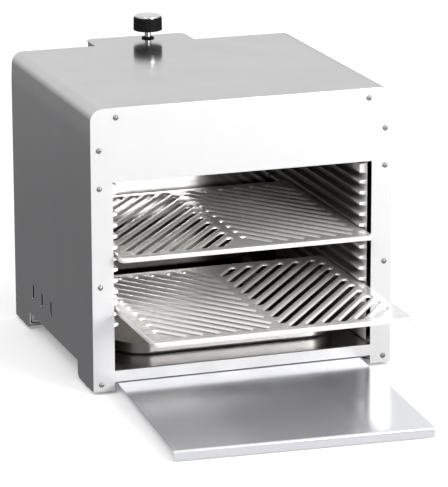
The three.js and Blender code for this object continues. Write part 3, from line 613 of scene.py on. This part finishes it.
def casing_pattern(section):
    """The flat pattern of the wrap: left side, roof with its tongue, and right side."""
    whole = section.lengths[-1]
    middle = whole / 2
    front, low, high = SHEET + GAP, SIDE_CUT_FRONT, SIDE_CUT_BACK
    cut, bevel = SIDE_CUT_TOP - BOTTOM, SIDE_CUT_CHAMFER
    corners = [
        (0, front, 0),
        (whole, front, 0),
        (whole, low - bevel, 0),
        (whole - bevel, low, 0),
        (whole - cut, low, 0),
        (whole - cut, high, 0),
        (whole - bevel, high, 0),
        (whole, high + bevel, 0),
        (whole, DEPTH, 0),
        (middle + TONGUE_RIGHT, DEPTH, 2),
        (middle + TONGUE_RIGHT, TONGUE_BACK, TONGUE_CORNER),
        (middle + TONGUE_LEFT, TONGUE_BACK, TONGUE_CORNER),
        (middle + TONGUE_LEFT, DEPTH, 2),
        (0, DEPTH, 0),
        (0, high + bevel, 0),
        (bevel, high, 0),
        (cut, high, 0),
        (cut, low, 0),
        (bevel, low, 0),
        (0, low - bevel, 0),
    ]
    outlines = [rounded(corners), circle(middle, KNOB_Y, KNOB_HOLE_RADIUS, 24)]
    vent = VENT_Z - BOTTOM
    half = (VENT_HEIGHT - VENT_WIDTH) / 2
    for y in VENT_YS:
        for u in (vent, whole - vent):
            outlines.append(stadium(u, y, 0, half, VENT_WIDTH / 2, 5))
    return outlines


def foot_ledges():
    """The four flats at the bottom of the sides, each with a hole for a foot."""
    ledges = []
    for side in (-1, 1):
        inner, outer = side * (HALF_WIDTH - LEDGE_WIDTH), side * (HALF_WIDTH - SHEET)
        for y0, y1, foot_y in (
            (SHEET + GAP, SIDE_CUT_FRONT - SIDE_CUT_CHAMFER, FOOT_FRONT),
            (SIDE_CUT_BACK + SIDE_CUT_CHAMFER, DEPTH, FOOT_REAR),
        ):
            hole = circle(side * FOOT_X, foot_y, FOOT_HOLE_RADIUS, 12)
            ledge = plate([rectangle(inner, y0, outer, y1), hole], SHEET, 0.3)
            ledges.append(moved(ledge, Matrix.Translation((0, 0, BOTTOM))))
    return ledges


def front_flange():
    """The edge of the wrap turned in behind the front frame."""
    rim, rim_top = HALF_WIDTH - SHEET, TOP - SHEET
    border, border_top = HALF_WIDTH - FLANGE_WIDTH, TOP - FLANGE_WIDTH
    outline = rounded([
        (-rim, BOTTOM, 0),
        (-border, BOTTOM, 0),
        (-border, border_top, FLANGE_CORNER),
        (border, border_top, FLANGE_CORNER),
        (border, BOTTOM, 0),
        (rim, BOTTOM, 0),
        (rim, rim_top, CORNER),
        (-rim, rim_top, CORNER),
    ])
    return moved(upright(plate([outline], SHEET, 0.3)), Matrix.Translation((0, SHEET + GAP, 0)))


def casing():
    """The wrapped sheet. Its sides lean in a little at the top."""
    line = HALF_WIDTH - SHEET / 2
    ridge = TOP - SHEET / 2
    bend = CORNER - SHEET / 2
    lean = line - SIDE_LEAN
    section = Section([
        (-line, BOTTOM, 0),
        (-line, SIDE_LEAN_Z, SIDE_LEAN_RADIUS),
        (-lean, ridge, bend),
        (lean, ridge, bend),
        (line, SIDE_LEAN_Z, SIDE_LEAN_RADIUS),
        (line, BOTTOM, 0),
    ], 12)
    wrap = bent_plate(
        section,
        casing_pattern(section),
        SHEET,
        lambda across, along: (across.x, along, across.y),
        0.3,
    )
    parts = [wrap, front_flange(), *foot_ledges()]
    piece("casing_wrap", parts, "casing_steel", stands_for=["outer_casing"])


def front_frame():
    outline = rounded([
        (-HALF_WIDTH, BOTTOM, 0.6),
        (-OPENING_HALF, BOTTOM, 0.6),
        (-OPENING_HALF, RAIL_BOTTOM, 0.6),
        (OPENING_HALF, RAIL_BOTTOM, 0.6),
        (OPENING_HALF, BOTTOM, 0.6),
        (HALF_WIDTH, BOTTOM, 0.6),
        (HALF_WIDTH, TOP, CORNER),
        (-HALF_WIDTH, TOP, CORNER),
    ], 12)
    opening = rectangle(-OPENING_HALF, OPENING_BOTTOM, OPENING_HALF, OPENING_TOP, 0.8)
    holes = [screw_hole(side * x, z) for x, z in FRONT_SCREWS for side in (-1, 1)]
    panel = upright(plate([outline, opening, *holes], SHEET, 0.45))
    piece("front_frame", [panel], "front_steel", stands_for=["front_panel"])


def back_plate():
    half = HALF_WIDTH - SHEET - GAP
    top = TOP - SHEET - GAP
    corner = CORNER - SHEET - GAP
    bottom = FLOOR_TOP - BACK_OVERLAP
    outline = rounded([
        (-half, bottom, 0),
        (half, bottom, 0),
        (half, top, corner),
        (-half, top, corner),
    ], 12)
    tube_hole = circle(0, TUBE_Z, TUBE_HOLE_RADIUS, 24)
    holes = [tube_hole, rectangle(*LEAD_HOLE)]
    for side in (-1, 1):
        for i in range(REAR_SLOT_COUNT):
            x = side * (REAR_SLOT_X + i * REAR_SLOT_PITCH)
            slot = stadium(x, REAR_SLOT_Z, math.pi / 2, REAR_SLOT_HALF, REAR_SLOT_RADIUS, 5)
            holes.append(slot)
    holes += [screw_hole(x, z) for x, z in housing_screws()]
    panel = upright(plate([outline, *holes], SHEET, 0.3))
    panel = moved(panel, Matrix.Translation((0, DEPTH - SHEET, 0)))
    piece("back_plate", [panel], "casing_steel", stands_for=["rear_panel"])


def housing_screws():
    inset_x = HOUSING_FLANGE / 2
    return [
        (x, z)
        for x in (TONGUE_LEFT - inset_x, TONGUE_RIGHT + inset_x)
        for z in HOUSING_SCREW_Z
    ]


def valve_housing():
    """The bent cover behind the cabinet: two flanges, two sides and a back with round corners."""
    front = DEPTH + GAP + SHEET / 2
    inwards = HOUSING_INSET + SHEET / 2
    left, right = TONGUE_LEFT + inwards, TONGUE_RIGHT - inwards
    back = TONGUE_BACK - inwards
    corner = TONGUE_CORNER - inwards
    section = Section([
        (TONGUE_LEFT + HOUSING_INSET - HOUSING_FLANGE, front, 0),
        (left, front, 2),
        (left, back, corner),
        (right, back, corner),
        (right, front, 2),
        (TONGUE_RIGHT - HOUSING_INSET + HOUSING_FLANGE, front, 0),
    ], 10)
    whole = section.lengths[-1]
    screw = HOUSING_FLANGE / 2 - HOUSING_INSET
    holes = [screw_hole(u, z) for z in HOUSING_SCREW_Z for u in (screw, whole - screw)]
    pattern = rectangle(0, HOUSING_BOTTOM, whole, HOUSING_TOP, 2, 4)
    cover = bent_plate(
        section,
        [pattern, *holes],
        SHEET,
        lambda across, along: (across.x, across.y, along),
        0.3,
    )
    piece("housing_cover", [cover], "casing_steel", stands_for=["valve_housing"])


def screw_mesh():
    """A domed head with a cross recess and a short shank, pointing up the z axis."""
    head = [(0, -1.0), (1.0, -1.0), (1.15, -1.93), (2.1, -1.75), (3.1, -1.1), (3.5, -0.5), (3.5, 0)]
    profile = head + [(1.9, 0), (1.9, 6.6), (1.5, 7), (0, 7)]

    def recess(radius, height, angle):
        return 0.55 * max(0, math.cos(4 * angle)) if radius in (1.0, 1.15) else 0

    return turned(profile, 32, recess)


def screws():
    out = Matrix.Rotation(math.radians(-90), 4, "X")
    for i, (x, z) in enumerate(FRONT_SCREWS, 1):
        for side, label in ((-1, "left"), (1, "right")):
            place = Matrix.Translation((side * x, -GAP, z)) @ out
            piece(
                f"screw_front_{label}_{i}",
                [moved(screw_mesh(), place)],
                "screw_steel",
                stands_for=[f"front_screw_{label}_{i}"],
            )
    back = Matrix.Rotation(math.radians(90), 4, "X")
    for i, (x, z) in enumerate(housing_screws(), 1):
        place = Matrix.Translation((x, DEPTH + GAP + SHEET + GAP, z)) @ back
        piece(
            f"screw_housing_{i}",
            [moved(screw_mesh(), place)],
            "screw_steel",
            stands_for=[f"housing_screw_{i}"],
        )


def feet():
    low, high = BOTTOM - GAP, BOTTOM + SHEET + GAP
    profile = [
        (0, 0.6), (6.5, 0.6), (7.2, 0), (10.6, 0), (11.4, 0.3), (11.9, 1.1), (12, low - 0.5),
        (11.6, low), (3.4, low), (3.4, high), (5.3, high), (5.5, high + 0.4), (3.2, high + 2.6),
        (2.4, high + 3), (0, high + 3),
    ]
    for end, y in (("front", FOOT_FRONT), ("rear", FOOT_REAR)):
        for side, label in ((-1, "left"), (1, "right")):
            foot = moved(turned(profile, 40), Matrix.Translation((side * FOOT_X, y, 0)))
            piece(
                f"rubber_foot_{end}_{label}",
                [foot],
                "foot_rubber",
                stands_for=[f"foot_{end}_{label}"],
            )


# ---------------------------------------------------------------- cooking space


def rib_heights():
    """(height, half width) of the ribs on a side guide."""
    ribs = [(RIB_FIRST + i * RIB_PITCH, 3.4) for i in range(RIB_COUNT)]
    return ribs + [(WIDE_RIB_Z, 7.4)]


def guide_section():
    """(x, z, bulge) up a side guide: x without the ribs, and how much of the rib's depth to add."""
    line = GUIDE_X + GUIDE_SHEET / 2
    bottom = FLOOR_TOP + GAP + GUIDE_SHEET / 2
    top = GUIDE_TOP - GUIDE_SHEET / 2
    rows = [(line + 13, bottom, 0), (line + 3, bottom, 0), (line + 1, bottom + 0.5, 0)]
    rows.append((line, bottom + 2, 0))
    for z, half in rib_heights():
        flank = [(-half, 0), (-half + 0.35, 0.08), (-half + 0.7, 0.4), (-half + 1.0, 0.75)]
        flank += [(-half + 1.35, 0.93), (-half + 1.9, 1), (0, 1)]
        whole = flank + [(-dz, bulge) for dz, bulge in reversed(flank[:-1])]
        rows += [(line, z + dz, bulge) for dz, bulge in whole]
    rows += [(line, top - 2, 0), (line + 1, top - 0.5, 0), (line + 3, top, 0), (line + 13, top, 0)]
    return rows


def guide_stations():
    """(y, share) along a side guide: the ribs swell from nothing at the ends, as if pressed."""
    reach, first = 3.0, 0.8
    ends = []
    for k in range(7):
        angle = math.pi / 2 * k / 6
        ends.append((first + reach * (1 - math.cos(angle)), math.sin(angle)))
    front = [(GUIDE_FRONT, 0)] + [(GUIDE_FRONT + y, share) for y, share in ends]
    back = [(GUIDE_BACK - y, share) for y, share in reversed(ends)] + [(GUIDE_BACK, 0)]
    return front + back


def rack_guide(side, label):
    bm = bmesh.new()
    rows = []
    for y, share in guide_stations():
        row = []
        for x, z, bulge in guide_section():
            row.append(bm.verts.new((side * (x - RIB_DEPTH * bulge * share), y, z)))
        rows.append(row)
    for near, far in zip(rows, rows[1:]):
        for i in range(len(near) - 1):
            bm.faces.new((near[i], near[i + 1], far[i + 1], far[i]))
    bmesh.ops.recalc_face_normals(bm, faces=bm.faces)
    bmesh.ops.solidify(bm, geom=bm.faces[:], thickness=GUIDE_SHEET / 2)
    name = f"ribbed_wall_{label}"
    piece(name, [bm], "guide_steel", stands_for=[f"rack_guide_{label}"], smooth=50)


def slot_row(side, lean):
    """The slots of one half of a grate; lean says which way the right half's slots slant."""
    angle = math.radians(SLOT_ANGLE)
    direction = Vector((math.cos(angle) * lean, math.sin(angle)))
    low = Vector((GRATE_DIVIDER, GRATE_BORDER))
    high = Vector((GRATE_WIDTH / 2 - GRATE_BORDER, GRATE_DEPTH - GRATE_BORDER))
    centre = (low + high) / 2
    radius = SLOT_WIDTH / 2
    slots = []
    rows = math.ceil(GRATE_DEPTH / SLOT_PITCH)
    for i in range(-rows, rows + 1):
        start = centre + Vector((direction.y, -direction.x)) * i * SLOT_PITCH
        spans = []
        for k in (0, 1):
            spans.append(sorted(((limit[k] - start[k]) / direction[k]) for limit in (low, high)))
        begin, end = max(s[0] for s in spans), min(s[1] for s in spans)
        half = (end - begin) / 2 - radius
        if half * 2 < SHORTEST_SLOT:
            continue
        middle = start + direction * (begin + end) / 2
        slant = math.atan2(direction.y, side * direction.x)
        slots.append(stadium(side * middle.x, middle.y, slant, half, radius, 8))
    return slots


def grate_outline(distance):
    half = GRATE_WIDTH / 2 - distance
    return rectangle(-half, distance, half, GRATE_DEPTH - distance, GRATE_CORNER - distance, 8)


def lip_section():
    """(inset, height) pairs up the outside of a grate's lip, round its bend and down inside."""
    top, bend, small = GRATE_LIP, LIP_BEND, LIP_BEND - SHEET
    section = [(0.3, 0), (0, 0.3), (0, top - bend)]
    for k in range(1, 6):
        angle = math.pi / 2 * k / 5
        section.append((bend - bend * math.cos(angle), top - bend + bend * math.sin(angle)))
    section.append((bend, top - SHEET))
    for k in range(1, 4):
        angle = math.pi / 2 * (1 - k / 3)
        section.append((bend - small * math.cos(angle), top - bend + small * math.sin(angle)))
    return section + [(SHEET, 0.3), (SHEET - 0.3, 0)]


def grate(name, lean, node_name):
    """A pressed grate: the slotted plate, and the lip that turns down all round it."""
    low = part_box(node_name)[0]
    front = (low.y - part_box("front_panel")[0].y) / MM
    slots = slot_row(1, lean) + slot_row(-1, lean)
    face = plate([grate_outline(LIP_BEND), *slots], SHEET, 0.45, SLOT_DRAW)
    loops = [[(p.x, p.y, z) for p in grate_outline(inwards)] for inwards, z in lip_section()]
    lip = lofted(loops, closed=True)
    lift = Matrix.Translation((0, front, low.z / MM))
    raised = lift @ Matrix.Translation((0, 0, GRATE_LIP - SHEET))
    parts = [moved(face, raised), moved(lip, lift)]
    piece(name, parts, "grate_steel", body=node_name, stands_for=[node_name])


def pan_outline(grow):
    half = PAN_HALF + grow
    back = PAN_FRONT + PAN_DEPTH + grow
    return rectangle(-half, PAN_FRONT - grow, half, back, PAN_CORNER + grow, 14)


def arc_points(centre, radius, first, last, steps):
    """Points on an arc in the section of a pan; angles are in degrees."""
    points = []
    for k in range(steps + 1):
        angle = math.radians(first + (last - first) * k / steps)
        points.append((centre[0] + radius * math.cos(angle), centre[1] + radius * math.sin(angle)))
    return points


def drip_pan():
    """A deep-drawn pan with a flat rim; its section runs from the underside over the rim and in."""
    bottom = FLOOR_TOP + GAP
    wall, height, rim = 1.4, 19, 8
    section = arc_points((-4, 4), 4, -90, 0, 5)
    section += arc_points((1.6, height - wall - 1.6), 1.6, 180, 90, 3)
    section += arc_points((rim - 0.7, height - 0.7), 0.7, -90, 90, 4)
    section += arc_points((1.6, height - 3), 3, 90, 180, 4)
    section += arc_points((-wall - 2.6, wall + 2.6), 2.6, 0, -90, 5)
    loops = [[(p.x, p.y, bottom + z) for p in pan_outline(grow)] for grow, z in section]
    piece("drip_pan_drawn", [lofted(loops)], "pan_steel", body="drip_pan", stands_for=["drip_pan"])


def base_tray():
    """A long flat tray with a lip turned down along its front edge, in its own skewed frame."""
    line = TRAY_TOP - SHEET / 2
    bottom = TRAY_TOP - TRAY_LIP
    section = Section([(SHEET / 2, bottom, 0), (SHEET / 2, line, 2.2), (TRAY_LENGTH, line, 0)], 6)
    half = TRAY_WIDTH / 2
    outline = rectangle(0, -half, section.lengths[-1], half, 1.5, 4)
    sheet = bent_plate(
        section, [outline], SHEET, lambda across, along: (along, across.x, across.y), 0.35
    )
    skew = Matrix.Translation((TRAY_X, TRAY_Y, 0))
    skew = skew @ Matrix.Rotation(math.radians(-TRAY_SKEW), 4, "Z")
    tray = moved(sheet, skew)
    piece("tray_sheet", [tray], "tray_steel", body="base_tray", stands_for=["base_tray"])


# ---------------------------------------------------------------- knob


def on_the_stem(profile, segments, ripple=None):
    """A body turned round the line of the valve's stem."""
    return moved(turned(profile, segments, ripple), Matrix.Translation((0, KNOB_Y, 0)))


def grip_flute(radius, height, angle):
    """How far a point on the knob's side is moved out by the flutes."""
    on_side = KNOB_BOTTOM + 2 < height < KNOB_TOP - 2 and radius > KNOB_RADIUS - 1.5
    return -FLUTE_DEPTH * max(0, math.cos(FLUTE_COUNT * angle)) ** 2 if on_side else 0


def knob_grip():
    r, low, high = KNOB_RADIUS, KNOB_BOTTOM, KNOB_TOP
    bore, depth = STEM_RADIUS + GAP, KNOB_BORE_DEPTH
    skirt = [(bore, low + depth), (bore, low + 0.4), (bore + 0.4, low)]
    skirt += [(r - 1.2, low), (r - 0.3, low + 0.4)]
    side = [(r, low + 1.1), (r, low + 2.1), (r - 0.1, low + 2.6), (r - 0.3, high - 2.6)]
    rim = [(r - 0.4, high - 1.8), (r - 0.7, high - 0.8), (r - 1.5, high - 0.1), (r - 2.2, high)]
    profile = [(0, low + depth), *skirt, *side, *rim, (0, high)]
    body = on_the_stem(profile, 192, grip_flute)
    piece("knob_grip", [body], "black_plastic", body="knob", stands_for=["control_knob"])


def knob_disc():
    r, base = KNOB_RADIUS, KNOB_TOP + 0.1
    profile = [
        (0, base), (r - 2, base), (r - 2, base + 1.5), (r - 2.2, base + 2.0),
        (r - 2.9, base + 2.4), (r - 4, base + 2.35), (r - 6, base + 2.0), (0, base + 1.9),
    ]
    disc = on_the_stem(profile, 96)
    piece("knob_disc", [disc], "chrome_trim", body="knob", stands_for=["knob_cap"])


def stem_rod():
    """The stem, with the collar that sits on the return spring."""
    r, low, high = STEM_RADIUS, STEM_BOTTOM, KNOB_BOTTOM + KNOB_BORE_DEPTH
    collar, collar_low = COLLAR_RADIUS, COIL_TOP + GAP
    profile = [
        (0, low), (r - 0.3, low), (r, low + 0.3), (r, collar_low), (collar - 0.2, collar_low),
        (collar, collar_low + 0.2), (collar, collar_low + 1.8), (collar - 0.2, collar_low + 2),
        (r, collar_low + 2), (r, high - 0.4), (r - 0.3, high), (0, high),
    ]
    rod = on_the_stem(profile, 40)
    piece("stem_rod", [rod], "screw_steel", body="knob", stands_for=["valve_stem"])


def bezel_ring():
    """The raised ring round the stem's hole in the roof."""
    inner, outer, base = 5.6, 9, TOP + GAP
    profile = [
        (inner, base), (outer - 0.3, base), (outer, base + 0.3), (outer, base + 0.9),
        (outer - 0.4, base + 1.4), (outer - 1.2, base + 1.7), (outer - 1.6, base + 1.8),
        (inner + 0.3, base + 1.8), (inner, base + 1.5), (inner, base),
    ]
    ring = on_the_stem(profile, 72)
    piece("bezel_ring", [ring], "black_plastic", stands_for=["knob_bezel"])


def return_coil():
    """The wire spring under the stem's collar, built at rest."""
    steps, around = 24, 10
    count = COIL_TURNS * steps
    rise = COIL_TOP - COIL_BOTTOM - 2 * COIL_WIRE
    slope = rise / (2 * math.pi * COIL_RADIUS * COIL_TURNS)
    loops = []
    for i in range(count + 1):
        angle = 2 * math.pi * i / steps
        outward = Vector((math.cos(angle), math.sin(angle), 0))
        along = Vector((-outward.y, outward.x, slope)).normalized()
        up = outward.cross(along)
        middle = Vector((0, KNOB_Y, COIL_BOTTOM + COIL_WIRE + rise * i / count))
        middle += outward * COIL_RADIUS
        turns = [2 * math.pi * k / around for k in range(around)]
        loops.append([
            middle + (outward * math.cos(turn) + up * math.sin(turn)) * COIL_WIRE for turn in turns
        ])
    coil = piece("return_coil", [lofted(loops)], "screw_steel", stands_for=["return_spring"])
    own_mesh(coil)


# ---------------------------------------------------------------- stage

# Metres for places, degrees for the azimuth, elevation and roll, and millimetres for the lens.
CAMERA_PLACE = (-1.3463, -3.9319, 1.3035)
CAMERA_ANGLES = (18.82, 15.22, -0.15)
CAMERA_LENS = 237
LIGHT_TARGET = Vector((0, 0, 0.2))


def dress_cad_nodes():
    """Gives each CAD node that still shows the material of its slot."""
    slots = {row["node"]: row["material_slot"] for row in frame["record"]["subparts"]}
    for name, obj in frame["nodes"].items():
        if obj.hide_render:
            continue
        for place in obj.material_slots:
            place.material = MATERIALS[slots[name]]


def floor():
    """A pale floor that gloss doesn't mirror, far larger than the view."""
    size = 40
    mesh = bpy.data.meshes.new("floor")
    corners = [(-size, -size, 0), (size, -size, 0), (size, size, 0), (-size, size, 0)]
    mesh.from_pydata(corners, [], [(0, 1, 2, 3)])
    obj = bpy.data.objects.new("floor", mesh)
    bpy.context.scene.collection.objects.link(obj)
    material, tree, shader = surface("floor_paper")
    clouds = noise(tree, 3, detail=2)
    color = mixed(tree, clouds, (0.88, 0.88, 0.88, 1), (0.9, 0.9, 0.9, 1))
    tree.links.new(color, shader.inputs["Base Color"])
    shader.inputs["Roughness"].default_value = 0.9
    shader.inputs["Specular IOR Level"].default_value = 0.1
    shader.inputs["Emission Color"].default_value = (1, 1, 1, 1)
    shader.inputs["Emission Strength"].default_value = 0.12
    obj.data.materials.append(material)
    obj.visible_glossy = False


def world():
    """Soft studio surroundings: bright in front and above, darker low down behind."""
    made = bpy.data.worlds.new("studio")
    bpy.context.scene.world = made
    made.use_nodes = True
    tree = made.node_tree
    background = tree.nodes["Background"]
    coords = node(tree, "ShaderNodeTexCoord")
    axes = node(tree, "ShaderNodeSeparateXYZ", {0: coords.outputs["Generated"]})
    front = ranged(tree, axes.outputs["Y"], 0.35, -0.35, 0, 1)
    above = ranged(tree, axes.outputs["Z"], -0.25, 0.22, 0, 1)
    below = mixed(tree, front, (0.2, 0.2, 0.204, 1), (0.62, 0.62, 0.62, 1))
    over = mixed(tree, front, (0.88, 0.88, 0.88, 1), (0.85, 0.85, 0.85, 1))
    tree.links.new(mixed(tree, above, below, over), background.inputs["Color"])
    background.inputs["Strength"].default_value = 1


def softbox(name, place, size, power):
    """A rectangular area light that faces the middle of the cabinet."""
    light = bpy.data.lights.new(name, "AREA")
    light.shape = "RECTANGLE"
    light.size, light.size_y = size
    light.energy = power
    obj = bpy.data.objects.new(name, light)
    bpy.context.scene.collection.objects.link(obj)
    obj.location = place
    obj.rotation_mode = "QUATERNION"
    obj.rotation_quaternion = (LIGHT_TARGET - Vector(place)).to_track_quat("-Z", "Y")


def camera():
    """The photograph's viewing angle: from the left and a little above, through a long lens."""
    azimuth, elevation, roll = (math.radians(angle) for angle in CAMERA_ANGLES)
    back = Vector((
        -math.sin(azimuth) * math.cos(elevation),
        -math.cos(azimuth) * math.cos(elevation),
        math.sin(elevation),
    ))
    data = bpy.data.cameras.new("camera")
    data.sensor_width = 36
    data.lens = CAMERA_LENS
    data.clip_start, data.clip_end = 0.1, 100
    obj = bpy.data.objects.new("camera", data)
    bpy.context.scene.collection.objects.link(obj)
    obj.location = CAMERA_PLACE
    obj.rotation_mode = "QUATERNION"
    turn = (-back).to_track_quat("-Z", "Y").to_matrix().to_4x4()
    obj.rotation_quaternion = (turn @ Matrix.Rotation(roll, 4, "Z")).to_quaternion()
    bpy.context.scene.camera = obj


# ---------------------------------------------------------------- the whole scene

casing()
front_frame()
back_plate()
valve_housing()
screws()
feet()
rack_guide(-1, "left")
rack_guide(1, "right")
grate("upper_grate_pressed", -1, "upper_grate")
grate("lower_grate_pressed", 1, "lower_grate")
drip_pan()
base_tray()
knob_grip()
knob_disc()
stem_rod()
bezel_ring()
return_coil()
dress_cad_nodes()
floor()
world()
softbox("key", (-2.2, -2.6, 3.4), (2.2, 2.2), 70)
softbox("fill", (2.8, -1.2, 2.6), (2.0, 2.0), 30)
softbox("front", (1.6, -3.0, 1.15), (1.6, 1.2), 120)
camera()
bpy.context.scene.view_settings.view_transform = "Standard"
